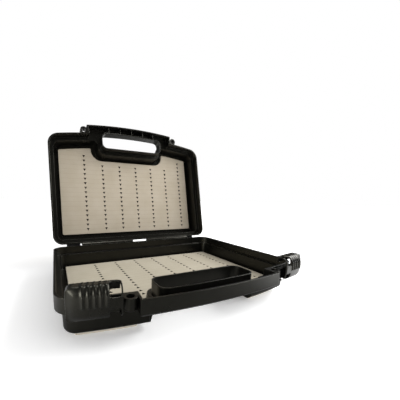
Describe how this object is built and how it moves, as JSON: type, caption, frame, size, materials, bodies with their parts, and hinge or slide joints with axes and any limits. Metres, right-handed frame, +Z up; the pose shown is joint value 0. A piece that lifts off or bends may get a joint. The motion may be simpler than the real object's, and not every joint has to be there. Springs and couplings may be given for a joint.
{
  "type": "fly fishing boat box",
  "caption": "Large waterproof style fly box: two hinged plastic half shells with foam panels inside and outside, a split carrying handle and sliding latches, shown open.",
  "frame": {"origin": "middle of the foam panel on which the open box lies, on the ground plane", "axes": "+X along the hinge to the viewer's right, +Y from the handle to the hinge, +Z up through the base"},
  "size_m": [0.33, 0.332, 0.2813],
  "materials": {
    "shell": "black moulded plastic, fine soft sheen",
    "latch": "black moulded plastic, a little glossier than the shell",
    "inner_foam": "matt closed-cell foam, pale beige, with rows of small slits",
    "outer_foam": "matt closed-cell foam, taupe, with rows of small slits",
    "glue": "thin pale double-sided adhesive film",
    "pin": "plain drawn steel rod",
    "foot": "black matt rubber"
  },
  "bodies": {
    "base": {"base_shell": "shell", "base_inner_foam": "inner_foam", "base_outer_foam": "outer_foam", "base_inner_glue": "glue", "base_outer_glue": "glue", "left_hinge_pin": "pin", "right_hinge_pin": "pin", "base_left_foot": "foot", "base_right_foot": "foot"},
    "lid": {"lid_shell": "shell", "lid_inner_foam": "inner_foam", "lid_outer_foam": "outer_foam", "lid_inner_glue": "glue", "lid_outer_glue": "glue", "lid_left_foot": "foot", "lid_right_foot": "foot"},
    "left_latch": {"left_latch": "latch"},
    "right_latch": {"right_latch": "latch"}
  },
  "joints": [
    {"name": "lid_hinge", "type": "hinge", "parent": "base", "child": "lid", "pos_m": [0, 0.1073, 0.0485], "axis": [1, 0, 0], "range_deg": [0, 103.1]},
    {"name": "left_latch_slide", "type": "slide", "parent": "base", "child": "left_latch", "axis": [0.9904, -0.138, 0], "range_m": [0, 0.0145]},
    {"name": "right_latch_slide", "type": "slide", "parent": "base", "child": "right_latch", "axis": [-0.9904, -0.138, 0], "range_m": [0, 0.0145]}
  ]
}
